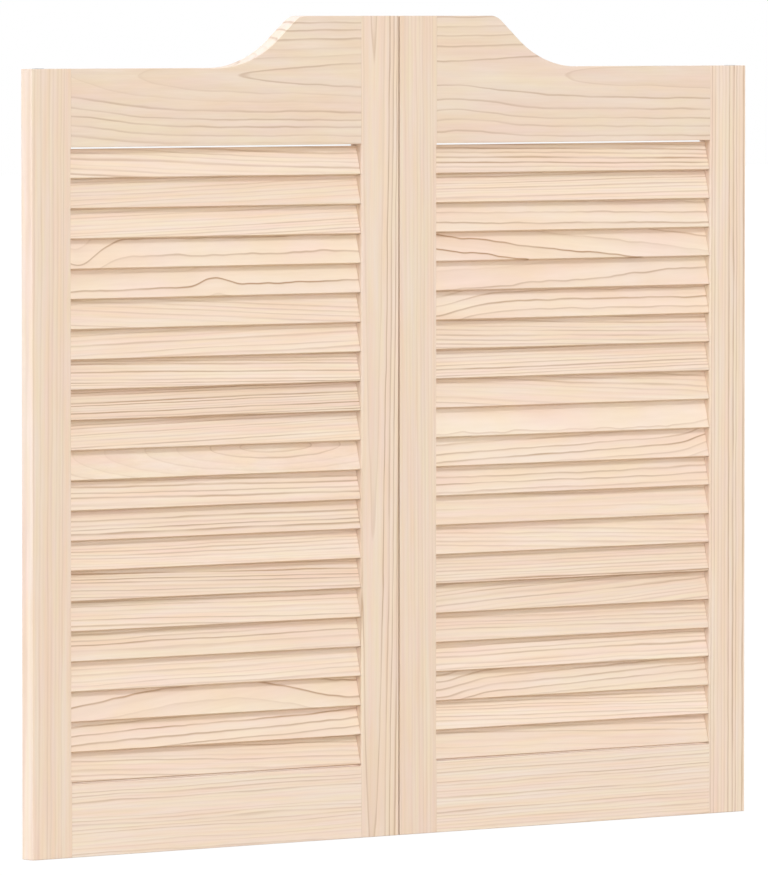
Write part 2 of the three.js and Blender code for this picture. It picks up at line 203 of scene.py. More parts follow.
class Sketch:
    """Adds nodes to a tree. Each call makes a node, feeds its inputs and gives back one of its outputs."""

    def __init__(self, tree):
        self.tree = tree

    def feed(self, socket, value):
        if isinstance(value, bpy.types.NodeSocket):
            self.tree.links.new(value, socket)
        elif value is not None:
            socket.default_value = value

    def add(self, kind, *feeds, out=0, named=None, **settings):
        node = self.tree.nodes.new(kind)
        for key, value in settings.items():
            setattr(node, key, value)
        for socket, value in zip(node.inputs, feeds):
            self.feed(socket, value)
        for name, value in (named or {}).items():
            self.feed(node.inputs[name], value)
        return node.outputs[out]

    def math(self, operation, *values, clamp=False):
        return self.add("ShaderNodeMath", *values, operation=operation, use_clamp=clamp)

    def split(self, vector):
        return self.add("ShaderNodeSeparateXYZ", vector).node.outputs

    def join(self, x, y, z):
        return self.add("ShaderNodeCombineXYZ", x, y, z)

    def times(self, parts, scales):
        return [self.math("MULTIPLY", part, scale) for part, scale in zip(parts, scales)]

    def scaled(self, parts, scales):
        """Vector of the parts, each times its scale."""
        return self.join(*self.times(parts, scales))

    def squares(self, first, second):
        """Sum of two squares."""
        return self.math("ADD", self.math("MULTIPLY", first, first), self.math("MULTIPLY", second, second))

    def noise(self, vector, detail=2.0, roughness=0.5):
        """Noise about zero, from -0.5 to 0.5."""
        named = {"Vector": vector, "Scale": 1.0, "Detail": detail, "Roughness": roughness}
        return self.math("SUBTRACT", self.add("ShaderNodeTexNoise", named=named), 0.5)

    def ramp(self, value, low, high, to_low=0.0, to_high=1.0):
        feeds = (value, low, high, to_low, to_high)
        return self.add("ShaderNodeMapRange", *feeds, interpolation_type="SMOOTHSTEP")

    def mix(self, factor, first, second, blend="MIX"):
        node = self.add("ShaderNodeMix", factor, data_type="RGBA", blend_type=blend).node
        self.feed(node.inputs[6], first)
        self.feed(node.inputs[7], second)
        return node.outputs[2]


def sockets(kind, *labels):
    """Labels of a group's sockets of one kind, each with its type."""
    return [(label, f"NodeSocket{kind}") for label in labels]


def node_group(name, kind, inputs, outputs):
    """Empty node group, the outputs of its input node and the inputs of its output node."""
    group = bpy.data.node_groups.new(name, kind)
    for way, labelled in (("INPUT", inputs), ("OUTPUT", outputs)):
        for label, socket in labelled:
            group.interface.new_socket(label, in_out=way, socket_type=socket)
    given = group.nodes.new("NodeGroupInput").outputs
    wanted = group.nodes.new("NodeGroupOutput").inputs
    return group, given, wanted


# What the group of a finish gives to a surface
FINISH = sockets("Color", "Color") + sockets("Float", "Roughness", "Height")


def new_material(name):
    material = bpy.data.materials.new(name)
    material.use_nodes = True
    sketch = Sketch(material.node_tree)
    return material, sketch, material.node_tree.nodes["Principled BSDF"].inputs


def dress(sketch, surface, group, values, strength, depth):
    """Feeds a surface's colour, roughness and bump from the group of a finish."""
    finish = sketch.add("ShaderNodeGroup", node_tree=group, named=values).node.outputs
    bump = {"Strength": strength, "Distance": depth, "Height": finish["Height"]}
    sketch.feed(surface["Base Color"], finish["Color"])
    sketch.feed(surface["Roughness"], finish["Roughness"])
    sketch.feed(surface["Normal"], sketch.add("ShaderNodeBump", named=bump))


# Wood

# A board is sawn from a log. Its pith is where the log's middle lies from the board's middle, across the
# face and behind it, and its ring is the width of a year ring, in millimetres. Its drift is how far the pith
# moves in a millimetre along the grain. Its tone makes it lighter or darker and picks its years, its lines
# say how dark its late wood is, and its wobble how far its rings wander.
Board = namedtuple("Board", "pith ring drift tone lines wobble eyes", defaults=((),))

# An eye is where the fibres part: millimetres along and across from the board's middle, how many rings it
# pushes, and its length and breadth in millimetres.
Eye = namedtuple("Eye", "along across push length breadth")
NO_EYE = Eye(0, 0, 0, 1, 1)

STILE_BOARDS = {
    "left_outer_stile": Board((-95, 30), 4.2, (0.006, 0.0), 0.0, 0.2, 0.4),
    "left_meeting_stile": Board((-9, 21.35), 4.4, (0.003, -0.012), 0.392, 0.9, 0.3),
    "right_meeting_stile": Board((-70, 45), 3.8, (-0.004, 0.004), -0.1, 0.18, 0.4),
    "right_outer_stile": Board((-74.7, 8), 4.6, (0.0015, 0.0), 0.874, 0.75, 0.12),
}
RAIL_BOARDS = {
    "left_top_rail": Board(
        (4.6, 16.4), 7.6, (0.0, -0.05), -0.094, 0.5, 0.3, (Eye(-185, -30, 0.9, 72, 45),)
    ),
    "right_top_rail": Board(
        (3.2, 23.7), 8.2, (0.0, -0.02), -0.028, 0.57, 0.3, (Eye(-150, -35, 0.8, 70, 32),)
    ),
    "left_bottom_rail": Board((-62, 40), 3.1, (0.006, 0.006), 1.6, 0.45, 0.9),
    "right_bottom_rail": Board((-70, 34), 2.9, (0.008, 0.004), 1.7, 0.62, 0.8),
}

# Slats with marked grain, numbered from the top
MARKED_SLATS = {
    ("left", 4): Board((-50.6, 10), 16, (0.01, 0.0), 0.569, 0.8, 0.15, (Eye(-168, 0, 1.45, 32, 60),)),
    ("left", 5): Board((-63.8, 10), 15, (0.02, 0.0), 0.297, 1.0, 0.15, (Eye(0, 0, -0.55, 20, 30),)),
    ("left", 9): Board((50, 30), 2.6, (0.01, 0.0), -0.9, 0.9, 0.4),
    ("left", 11): Board((10, 11.7), 6.3, (0.0, -0.154), 0.08, 0.55, 0.15),
    ("left", 15): Board((-45, 26), 2.8, (-0.02, 0.0), -0.8, 0.85, 0.5),
    ("left", 19): Board((-55.4, 10), 15, (0.126, 0.0), 0.121, 1.0, 0.15, (Eye(190, 0, 3.1, 118, 200),)),
    ("left", 20): Board((-64.6, 10), 8.8, (0.03, 0.0), 0.253, 0.95, 0.3),
    ("right", 3): Board((-70.6, 10), 10.5, (-0.012, 0.0), 0.121, 0.8, 0.25),
    ("right", 4): Board((-65.8, 10), 15, (-0.11, 0.0), 0.259, 1.0, 0.12),
    ("right", 5): Board((-78, 10), 18, (0.05, 0.0), 0.225, 0.8, 0.15),
    ("right", 6): Board((-63.6, 10), 9.5, (0.0, 0.0), 0.183, 0.8, 0.15, (Eye(-185, 0, 1.5, 55, 200),)),
    ("right", 10): Board((-91.3, 10), 20, (0.0, 0.0), 0.995, 0.6, 0.1, (Eye(190, 0, -0.35, 30, 200),)),
    ("right", 11): Board((-62.4, 10), 8.2, (0.032, 0.0), 0.474, 0.9, 0.15, (Eye(185, 0, -1.0, 30, 200),)),
    ("right", 12): Board((-63, 10), 7.5, (0.01, 0.0), 0.14, 0.8, 0.4),
    ("right", 15): Board((60, 26), 3.2, (0.0, 0.0), -0.3, 0.95, 0.35),
    ("right", 19): Board((-60, 10), 7, (0.03, 0.0), 0.1, 0.7, 0.25, (Eye(-170, 0, 1.2, 40, 200),)),
}

# What a board's points tell its grain
GRAIN = ("Log", "Board", "Eye A", "Eye A Size", "Eye B", "Eye B Size")

# Keeps boards apart in the noise along the log
LOG_SPREAD = 3.7

# Noise in the wood: how often it changes in a metre along the log, and in a ring across it
WANDER, TREMBLE = (7.0, 0.25, 0.25), (34.0, 0.6, 0.6)
FIBRES, STREAKS = (22.0, 4.5, 4.5), (4.0, 1.6, 1.6)
PATCHES = {"Blush": (6.0, 0.4, 0.4), "Straw": (14.0, 0.55, 0.55)}
PATCH_EDGE = 0.3

# How many rings that noise moves a ring, and how far and how often the rings' widths differ
WANDER_REACH, TREMBLE_REACH = 2.0, 0.3
UNEVEN_REACH, UNEVEN_RATE = 1.3, 0.42

# Late wood: its widest line in millimetres, the shares of a ring in which it darkens and ends, the curve of
# its darkening, the least slant at which a face cuts it, and the dusk that comes before it
LATE_WIDTH = 4.0
LATE_RISE, LATE_FALL, LATE_CURVE = 0.5, 0.26, 1.3
LEAST_SLANT = 0.2
DUSK = 0.12

# A year's line is faint or dark, and fades in places: how often along the log and from ring to ring, between
# which values of the noise, and how much is left of it
YEAR_FAINTEST, YEAR_CURVE = 0.25, 1.6
FADE_ALONG, FADE_ACROSS = 9.0, 3.7
FADE_LOW, FADE_HIGH, FADE_LEAST = -0.25, 0.15, 0.35

# What tone, fibres, streaks and end grain add to the wood's shade, and each channel's share of that
TONE_SHADE, FIBRE_SHADE, STREAK_SHADE, END_SHADE = 0.05, 0.09, 0.13, -0.16
CHANNEL_SHARES = (0.75, 1.0, 1.25)
END_FACING = (0.5, 0.95)

# Gloss and relief of the planed wood
PINE_ROUGH, FIBRE_ROUGH, LATE_ROUGH = 0.62, 0.16, -0.1
FIBRE_HEIGHT, LATE_HEIGHT = 0.8, 0.5
PINE_SPECULAR = 0.25


def slat_boards(seed, count):
    """A board for each slat of both leaves, from the top. Most are sawn across the rings."""
    chance = random.Random(seed)
    boards = {}
    for side in SIDES:
        for number in range(1, count + 1):
            boards[side, number] = Board(
                pith=(chance.choice((-1, 1)) * chance.uniform(26, 75), chance.uniform(22, 50)),
                ring=chance.uniform(2.6, 4.6),
                drift=(chance.gauss(0, 0.023), chance.gauss(0, 0.014)),
                tone=chance.gauss(0, 0.45),
                lines=chance.uniform(0.36, 0.86),
                wobble=chance.uniform(0.3, 0.8),
            )
    boards.update(MARKED_SLATS)
    return boards


def attribute(label):
    """Name of the mesh attribute behind a socket of the grain."""
    return label.lower().replace(" ", "_")


def in_log(board, along, across, behind):
    """A place's metres along the log, and its rings from the pith across the face and behind it."""
    rings = [
        (side / MM - middle - drift * along / MM) / board.ring
        for side, middle, drift in zip((across, behind), board.pith, board.drift)
    ]
    start = LOG_SPREAD * (board.tone + board.lines) + board.pith[0]
    return (along + start, *rings)


def lay_grain(mesh, places, boards):
    """Stores where every point lay in the log that its board was sawn from, and how that board looks.

    places holds each point's metres along the grain, across the face and behind it, from the board's middle.
    boards holds the Board of each point.
    """
    values = {label: [] for label in GRAIN}
    for place, board in zip(places, boards):
        values["Log"].extend(in_log(board, *place))
        values["Board"].extend((board.tone, board.lines, board.wobble))
        for label, eye in zip(("Eye A", "Eye B"), (*board.eyes, NO_EYE, NO_EYE)):
            along, across, _ = in_log(board, eye.along * MM, eye.across * MM, 0)
            values[label].extend((along, across, eye.push))
            values[label + " Size"].extend((eye.length * MM, eye.breadth / board.ring, 0))
    for label, flat in values.items():
        mesh.attributes.new(attribute(label), "FLOAT_VECTOR", "POINT").data.foreach_set("vector", flat)
    rings = [board.ring for board in boards]
    mesh.attributes.new(attribute("Ring Width"), "FLOAT", "POINT").data.foreach_set("value", rings)


def eye_push(sketch, eye, size, along, across):
    """How far an eye pushes the rings apart at a point."""
    eye_along, eye_across, push = sketch.split(eye)
    reach, breadth, _ = sketch.split(size)
    near = sketch.math("DIVIDE", sketch.math("SUBTRACT", along, eye_along), reach)
    beside = sketch.math("DIVIDE", sketch.math("SUBTRACT", across, eye_across), breadth)
    far = sketch.squares(near, beside)
    return sketch.math("MULTIPLY", push, sketch.math("EXPONENT", sketch.math("MULTIPLY", far, -1.0)))


def pine_group():
    """Year rings, fibres, blush and straw of bare pine, from a point's place in its log."""
    inputs = sockets("Vector", *GRAIN) + sockets("Float", "Ring Width", "End Grain")
    inputs += sockets("Color", "Pale Wood", "Late Wood", *PATCHES)
    group, given, wanted = node_group("Pine grain", "ShaderNodeTree", inputs, FINISH)
    sketch = Sketch(group)
    log = sketch.split(given["Log"])
    along, across, behind = log
    tone, lines, wobble = sketch.split(given["Board"])

    # The rings wander slowly along the log, tremble finely and differ in width.
    distance = sketch.math("SQRT", sketch.squares(across, behind))
    slant = sketch.math("DIVIDE", sketch.math("ABSOLUTE", across), distance)
    slant = sketch.math("MAXIMUM", slant, LEAST_SLANT)
    wander = sketch.noise(sketch.scaled(log, WANDER), detail=1.5)
    tremble = sketch.noise(sketch.scaled(log, TREMBLE), detail=1.0)
    place = sketch.math("MULTIPLY_ADD", wander, sketch.math("MULTIPLY", wobble, WANDER_REACH), distance)
    place = sketch.math("MULTIPLY_ADD", tremble, sketch.math("MULTIPLY", slant, TREMBLE_REACH), place)
    for name in ("Eye A", "Eye B"):
        place = sketch.math("ADD", place, eye_push(sketch, given[name], given[name + " Size"], along, across))
    thin = sketch.math("MINIMUM", sketch.math("DIVIDE", LATE_WIDTH, given["Ring Width"]), 1.0)
    uneven = sketch.noise(sketch.join(sketch.math("MULTIPLY", place, UNEVEN_RATE), tone, 0.0), detail=1.0)
    place = sketch.math("MULTIPLY_ADD", uneven, sketch.math("MULTIPLY", thin, UNEVEN_REACH), place)

    # A ring darkens to a thin line of late wood. Where the face cuts the rings flat, the line stays thin.
    ring = sketch.math("FLOOR", place)
    share = sketch.math("FRACT", place)
    reach = sketch.math("MULTIPLY", slant, thin)
    peak = sketch.math("MULTIPLY_ADD", reach, -LATE_FALL, 1.0)
    foot = sketch.math("MULTIPLY_ADD", reach, -LATE_RISE, peak)
    rise = sketch.math("POWER", sketch.ramp(share, foot, peak), LATE_CURVE)
    fall = sketch.ramp(share, peak, 1.0, 1.0, 0.0)
    number = sketch.math("ROUND", sketch.math("MULTIPLY", tone, 1000.0))
    year = sketch.add("ShaderNodeTexWhiteNoise", sketch.join(ring, number, 0.0), noise_dimensions="3D")
    year = sketch.math("POWER", sketch.ramp(year, 0.0, 1.0, YEAR_FAINTEST, 1.0), YEAR_CURVE)
    fade = sketch.noise(sketch.join(*sketch.times((along, ring), (FADE_ALONG, FADE_ACROSS)), tone))
    fade = sketch.ramp(fade, FADE_LOW, FADE_HIGH, FADE_LEAST, 1.0)
    late = sketch.math("MULTIPLY", sketch.math("MULTIPLY", rise, fall), sketch.math("MULTIPLY", year, fade))
    dusk = sketch.math("MULTIPLY", sketch.math("MULTIPLY", share, share), sketch.math("MULTIPLY", fall, DUSK))
    mark = sketch.math("MULTIPLY", sketch.math("ADD", late, dusk), lines, clamp=True)

    # Patches tint the pale wood, and fibres and streaks shade it.
    fibre = sketch.noise(sketch.scaled(log, FIBRES), roughness=0.6)
    streak = sketch.noise(sketch.scaled(log, STREAKS))
    pale = given["Pale Wood"]
    for tint, size in PATCHES.items():
        patch = sketch.ramp(sketch.noise(sketch.scaled(log, size)), -PATCH_EDGE, PATCH_EDGE)
        pale = sketch.mix(patch, pale, given[tint], "MULTIPLY")
    shade = sketch.math("MULTIPLY_ADD", tone, TONE_SHADE, sketch.math("MULTIPLY", fibre, FIBRE_SHADE))
    shade = sketch.math("MULTIPLY_ADD", streak, STREAK_SHADE, shade)
    shade = sketch.math("MULTIPLY_ADD", given["End Grain"], END_SHADE, shade)
    shades = [sketch.math("MULTIPLY_ADD", shade, channel, 1.0) for channel in CHANNEL_SHARES]
    wood = sketch.mix(mark, pale, given["Late Wood"])
    sketch.feed(wanted["Color"], sketch.mix(1.0, wood, sketch.join(*shades), "MULTIPLY"))
    rough = sketch.math("MULTIPLY_ADD", fibre, FIBRE_ROUGH, PINE_ROUGH)
    sketch.feed(wanted["Roughness"], sketch.math("MULTIPLY_ADD", mark, LATE_ROUGH, rough))
    relief = sketch.math("MULTIPLY", mark, LATE_HEIGHT)
    sketch.feed(wanted["Height"], sketch.math("MULTIPLY_ADD", fibre, FIBRE_HEIGHT, relief))
    return group


def pine(name, finishes, pale_wood, grain_axis):
    """Bare planed pine with its grain along one axis of the piece."""
    material, sketch, surface = new_material(name)
    values = {
        label: sketch.add("ShaderNodeAttribute", attribute_name=attribute(label), out=1) for label in GRAIN
    }
    values["Ring Width"] = sketch.add("ShaderNodeAttribute", attribute_name=attribute("Ring Width"), out=2)
    facing = sketch.add("ShaderNodeTexCoord", out=1)
    along = sketch.add("ShaderNodeVectorMath", facing, grain_axis, operation="DOT_PRODUCT", out=1)
    values["End Grain"] = sketch.ramp(sketch.math("ABSOLUTE", along), *END_FACING)
    values["Pale Wood"] = (*pale_wood, 1)
    values["Late Wood"] = (*finishes.late_wood, 1)
    for tint in PATCHES:
        values[tint] = (*getattr(finishes, tint.lower()), 1)
    group = bpy.data.node_groups.get("Pine grain") or pine_group()
    dress(sketch, surface, group, values, strength=0.25, depth=0.2 * MM)
    surface["Specular IOR Level"].default_value = PINE_SPECULAR
    return material


# Mesh making

# Points nearer than this are one, and faces that meet at a smaller angle than this are shaded smooth
WELD = 0.001 * MM
SMOOTH_ANGLE = math.radians(35)


def baked(piece):
    """Plain mesh of a piece with its modifiers applied."""
    graph = bpy.context.evaluated_depsgraph_get()
    return bpy.data.meshes.new_from_object(piece.evaluated_get(graph), depsgraph=graph)


def linked(name, mesh):
    piece = bpy.data.objects.new(name, mesh)
    bpy.context.scene.collection.objects.link(piece)
    return piece


def grown(mesh, tree, values):
    """Plain mesh that a Geometry Nodes tree makes of a mesh. Its inputs are set by their identifiers."""
    work = linked("work", mesh)
    step = work.modifiers.new("grow", "NODES")
    step.node_group = tree
    keys = {item.name: item.identifier for item in tree.interface.items_tree}
    for name, value in values.items():
        step[keys[name]] = value
    made = baked(work)
    bpy.data.objects.remove(work)
    return made


def to_mesh(name, shape):
    """Mesh of a bmesh made of closed shells, facing out."""
    bmesh.ops.recalc_face_normals(shape, faces=shape.faces)
    mesh = bpy.data.meshes.new(name)
    shape.to_mesh(mesh)
    shape.free()
    return mesh


def loft(shape, rings):
    """Skins closed rings of points in order and caps both ends."""
    loops = [[shape.verts.new(point) for point in ring] for ring in rings]
    for lower, upper in zip(loops, loops[1:]):
        for first in range(len(lower)):
            second = (first + 1) % len(lower)
            shape.faces.new((lower[first], lower[second], upper[second], upper[first]))
    shape.faces.new(loops[0])
    shape.faces.new(loops[-1])


def turned(shape, profile, axis_x, steps=48):
    """Spins a profile of radius and height about the vertical line at axis_x."""
    points = [shape.verts.new((axis_x + radius, 0, height)) for radius, height in profile]
    edges = [shape.edges.new(pair) for pair in zip(points, points[1:])]
    bmesh.ops.spin(shape, geom=points + edges, cent=(axis_x, 0, 0), axis=(0, 0, 1), angle=2 * math.pi,
                   steps=steps, use_merge=True)
    bmesh.ops.remove_doubles(shape, verts=shape.verts, dist=WELD)


def box(shape, low, high):
    corners = [(low[0], low[1]), (high[0], low[1]), (high[0], high[1]), (low[0], high[1])]
    loft(shape, [[(x, y, z) for x, y in corners] for z in (low[2], high[2])])


def arc(centre, radius, start, end, steps):
    """Points of an arc between two angles, both ends included."""
    turns = [start + (end - start) * step / steps for step in range(steps + 1)]
    return [(centre[0] + radius * math.cos(turn), centre[1] + radius * math.sin(turn)) for turn in turns]


def rounded_outline(width, height, right_radius, left_radius=None, steps=5):
    """Rectangle with rounded corners. Those on the left are like the right ones, unless they are given."""
    quarter = math.pi / 2
    left_radius = right_radius if left_radius is None else left_radius
    corners = ((1, 1, right_radius), (-1, 1, left_radius), (-1, -1, left_radius), (1, -1, right_radius))
    points = []
    for index, (right, up, radius) in enumerate(corners):
        centre = (right * (width / 2 - radius), up * (height / 2 - radius))
        points += arc(centre, radius, index * quarter, (index + 1) * quarter, steps)
    return points


def inset(outline, distance):
    """Outline moved inwards, mitred at its corners. The outline runs anticlockwise."""
    moved = []
    for index, point in enumerate(outline):
        here = Vector(point)
        before = (here - Vector(outline[index - 1])).normalized()
        after = (Vector(outline[(index + 1) % len(outline)]) - here).normalized()
        inwards = Vector((-before.y - after.y, before.x + after.x))
        moved.append(here + inwards * distance / (1 + before.dot(after)))
    return moved


def carve(body, tool, operation):
    """Mesh of a body cut by a tool or joined with it."""
    work, cutter = linked("work", body), linked("cutter", tool)
    step = work.modifiers.new("carve", "BOOLEAN")
    step.object, step.operation, step.solver = cutter, operation, "EXACT"
    mesh = baked(work)
    for spent in (work, cutter):
        bpy.data.objects.remove(spent)
    return mesh


def finish_piece(name, mesh, material, body, nodes):
    """Shades a mesh, makes it a piece, gives it its body if it has one, and hides the CAD nodes that it
    stands for.
    """
    mesh.name = name
    mesh.materials.clear()
    mesh.materials.append(material)
    mesh.shade_smooth()
    mesh.set_sharp_from_angle(angle=SMOOTH_ANGLE)
    piece = linked(name, mesh)
    piece.modifiers.new("flat faces", "WEIGHTED_NORMAL").keep_sharp = True
    piece.data = baked(piece)
    piece.modifiers.clear()
    piece.data.name = name
    if body:
        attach(piece, body)
    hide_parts(*nodes)
    return piece


def mirrored(mesh, side):
    """The mesh itself for the left leaf, and its mirror image for the right one."""
    if side == "right":
        mesh.transform(MIRROR)
        mesh.flip_normals()
    return mesh


def slat_lean(slats):
    return math.asin((slats.thickness + slats.spacing) / SLAT_PITCH)


def slat_width(slats):
    """Width across the slat that gives its rise between the two edges."""
    lean = slat_lean(slats)
    core_rise = SLAT_PITCH + slats.overlap - 2 * slats.edge_radius
    core_thickness = slats.thickness - 2 * slats.edge_radius
    return (core_rise - core_thickness * math.sin(lean)) / math.cos(lean) + 2 * slats.edge_radius


def top_trim(slats):
    """What is planed off the width of the top slat."""
    return slats.overlap / math.cos(slat_lean(slats))


def pivot_axis():
    low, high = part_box("left_lower_pivot_pin")
    return (low.x + high.x) / 2


# Stiles

def stile_board(kind, low, high, sizes):
    """Board of the left leaf with rounded long edges and a small bevel round both ends.

    The edges beside the slats are rounded, and nearly sharp where the rails butt against them.
    """
    middle = (low + high) / 2
    width, thickness = high.x - low.x, high.y - low.y
    bevel, sharp = sizes.arris, sizes.arris + sizes.butt_gap
    slats_low, slats_high = BOTTOM_RAIL_HIGH.z, TOP_RAIL_LOW.z
    levels = (
        (low.z, bevel, sharp), (low.z + bevel, 0, sharp),
        (slats_low, 0, sharp), (slats_low + sizes.round_stop, 0, sizes.inner_radius),
        (slats_high - sizes.round_stop, 0, sizes.inner_radius), (slats_high, 0, sharp),
        (high.z - bevel, 0, sharp), (high.z, bevel, sharp),
    )
    rings = []
    for height, smaller, inner in levels:
        radii = [inner - smaller, sizes.outer_radius - smaller]
        if kind == "meeting":
            radii.reverse()
        outline = rounded_outline(width - 2 * smaller, thickness - 2 * smaller, *radii)
        rings.append([(middle.x + x, middle.y + y, height) for x, y in outline])
    shape = bmesh.new()
    loft(shape, rings)
    return to_mesh("stile", shape)


def cut_housings(shape, slats, gap):
    """Sloping housings for both ends of every slat."""
    turn = Matrix.Rotation(-slat_lean(slats), 4, "X")
    ends = (SLAT_ENDS[0] - gap, SLAT_ENDS[1] + gap)
    for index in range(len(SLAT_NODES)):
        planed = top_trim(slats) if index == len(SLAT_NODES) - 1 else 0
        width = slat_width(slats) - planed
        outline = rounded_outline(slats.thickness + 2 * gap, width + 2 * gap, slats.edge_radius + gap)
        middle = Vector((0, LOWEST_SLAT.y, LOWEST_SLAT.z + index * SLAT_PITCH))
        section = [middle + turn @ Vector((0, y, z - planed / 2)) for y, z in outline]
        loft(shape, [[(x, point.y, point.z) for point in section] for x in ends])


def tenons(shape, sizes, gap):
    """Stub tenons of both rails of the left leaf, grown by the gap."""
    y = sizes.tenon_thickness / 2 + gap
    step = sizes.tenon_shoulder - gap
    reach = (TOP_RAIL_LOW.x - gap, TOP_RAIL_HIGH.x + gap)
    inner = (STILE_HIGH.x + STILE_HIGH.x - TOP_RAIL_LOW.x, MEETING_LOW.x - (TOP_RAIL_HIGH.x - MEETING_LOW.x))
    shoulder = STILE_HIGH.z
    box(shape, (reach[0], -y, BOTTOM_RAIL_LOW.z + step), (reach[1], y, BOTTOM_RAIL_HIGH.z - step))
    box(shape, (reach[0], -y, TOP_RAIL_LOW.z + step), (inner[0], y, shoulder - step))
    box(shape, (inner[1], -y, TOP_RAIL_LOW.z + step), (reach[1], y, TOP_RAIL_HIGH.z - step))


def cut_bores(shape, pivots):
    """Stepped bores for the pivots in both ends of the outer stile."""
    pin_low, pin_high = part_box("left_lower_pivot_pin")
    bush_low, bush_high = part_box("left_lower_bush")
    upper_low, upper_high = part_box("left_upper_pivot_pin")
    top_bush_low, top_bush_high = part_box("left_upper_bush")
    gap = pivots.running_gap
    wide = (bush_high.x - bush_low.x) / 2 + gap
    chamber = pivots.pin_diameter / 2 + pivots.wire_diameter + 2 * pivots.spring_clearance
    narrow = pivots.pin_diameter / 2 + gap
    turned(shape, [(0, pin_low.z), (wide, pin_low.z), (wide, bush_high.z + gap), (chamber, bush_high.z + gap),
                   (chamber, pin_high.z + gap), (0, pin_high.z + gap)], pivot_axis())
    turned(shape, [(0, upper_low.z - gap), (narrow, upper_low.z - gap), (narrow, top_bush_low.z - gap),
                   (wide, top_bush_low.z - gap), (wide, upper_high.z), (0, upper_high.z)], pivot_axis())


class CAFE_OT_stiles(bpy.types.Operator):
    """Makes the four stiles with their housings, mortises and pivot bores"""

    bl_idname = "cafe_doors.stiles"
    bl_label = "Stiles"

    def execute(self, context):
        scene = context.scene
        sizes, slats, pivots = scene.cafe_boards, scene.cafe_slats, scene.cafe_pivots
        finishes = scene.cafe_finishes
        material = pine("stile pine", finishes, finishes.stile_wood, (0, 0, 1))
        for kind, low, high in (("outer", STILE_LOW, STILE_HIGH), ("meeting", MEETING_LOW, MEETING_HIGH)):
            for side in SIDES:
                tool = bmesh.new()
                cut_housings(tool, slats, sizes.joint_gap)
                tenons(tool, sizes, sizes.joint_gap)
                if kind == "outer":
                    cut_bores(tool, pivots)
                mesh = carve(stile_board(kind, low, high, sizes), to_mesh("cutter", tool), "DIFFERENCE")
                mesh = mirrored(mesh, side)
                node = f"{side}_{kind}_stile"
                middle = sum(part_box(node), Vector()) / 2
                places = [(p.co.z - middle.z, p.co.x - middle.x, p.co.y - low.y) for p in mesh.vertices]
                lay_grain(mesh, places, [STILE_BOARDS[node]] * len(places))
                finish_piece(node + ".wood", mesh, material, f"{side}_leaf", [node])
        return {"FINISHED"}


# Rails

def top_rail_outline(sizes):
    """The rail's front with its S-shaped cut from crest to shoulder, anticlockwise from its lower left."""
    left, right = STILE_HIGH.x + sizes.butt_gap, MEETING_LOW.x - sizes.butt_gap
    bottom, crest = TOP_RAIL_LOW.z, TOP_RAIL_HIGH.z
    shoulder = crest - sizes.shoulder_drop
    slope, both = sizes.ramp_angle, sizes.crest_radius + sizes.foot_radius
    ramp = (sizes.shoulder_drop - both * (1 - math.cos(slope))) / math.sin(slope)
    crest_x = MEETING_HIGH.x - sizes.crest_width
    foot_x = crest_x - both * math.sin(slope) - ramp * math.cos(slope)
    up = math.pi / 2
    outline = [(left, bottom), (right, bottom), (right, crest)]
    outline += arc((crest_x, crest - sizes.crest_radius), sizes.crest_radius, up, up + slope, 10)
    outline += arc((foot_x, shoulder + sizes.foot_radius), sizes.foot_radius, slope - up, -up, 24)
    outline.append((left, shoulder))
    return outline


def bottom_rail_outline(sizes):
    left, right = STILE_HIGH.x + sizes.butt_gap, MEETING_LOW.x - sizes.butt_gap
    bottom, top = BOTTOM_RAIL_LOW.z, BOTTOM_RAIL_HIGH.z
    return [(left, bottom), (right, bottom), (right, top), (left, top)]


def rail_board(outline, sizes):
    """Board of an outline, with a small bevel along its edges but not at the two butted ends."""
    ends = (outline[0][0], outline[1][0])
    small = [
        (before[0] if before[0] in ends else after.x, after.y)
        for before, after in zip(outline, inset(outline, sizes.arris))
    ]
    half = sizes.rail_thickness / 2
    flat = half - sizes.arris
    levels = ((-half, small), (-flat, outline), (flat, outline), (half, small))
    shape = bmesh.new()
    loft(shape, [[(point[0], y, point[1]) for point in ring] for y, ring in levels])
    return to_mesh("rail", shape)


def rail_tenons(rail, sizes):
    """The tenons that belong to one rail."""
    shape = bmesh.new()
    tenons(shape, sizes, 0)
    middle = (BOTTOM_RAIL_HIGH.z + TOP_RAIL_LOW.z) / 2
    other = [point for point in shape.verts if (point.co.z > middle) != (rail == "top")]
    bmesh.ops.delete(shape, geom=other, context="VERTS")
    return to_mesh("tenons", shape)


class CAFE_OT_rails(bpy.types.Operator):
    """Makes the top and bottom rails with their tenons"""

    bl_idname = "cafe_doors.rails"
    bl_label = "Rails"

    def execute(self, context):
        sizes, finishes = context.scene.cafe_boards, context.scene.cafe_finishes
        material = pine("rail pine", finishes, finishes.rail_wood, (1, 0, 0))
        outlines = {"top": top_rail_outline(sizes), "bottom": bottom_rail_outline(sizes)}
        for rail, outline in outlines.items():
            for side in SIDES:
                mesh = mirrored(carve(rail_board(outline, sizes), rail_tenons(rail, sizes), "UNION"), side)
                node = f"{side}_{rail}_rail"
                low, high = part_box(node)
                middle = (low + high) / 2
                front = -sizes.rail_thickness / 2
                places = [(p.co.x - middle.x, p.co.z - middle.z, p.co.y - front) for p in mesh.vertices]
                lay_grain(mesh, places, [RAIL_BOARDS[node]] * len(places))
                finish_piece(node + ".wood", mesh, material, f"{side}_leaf", [node])
        return {"FINISHED"}


# Slats

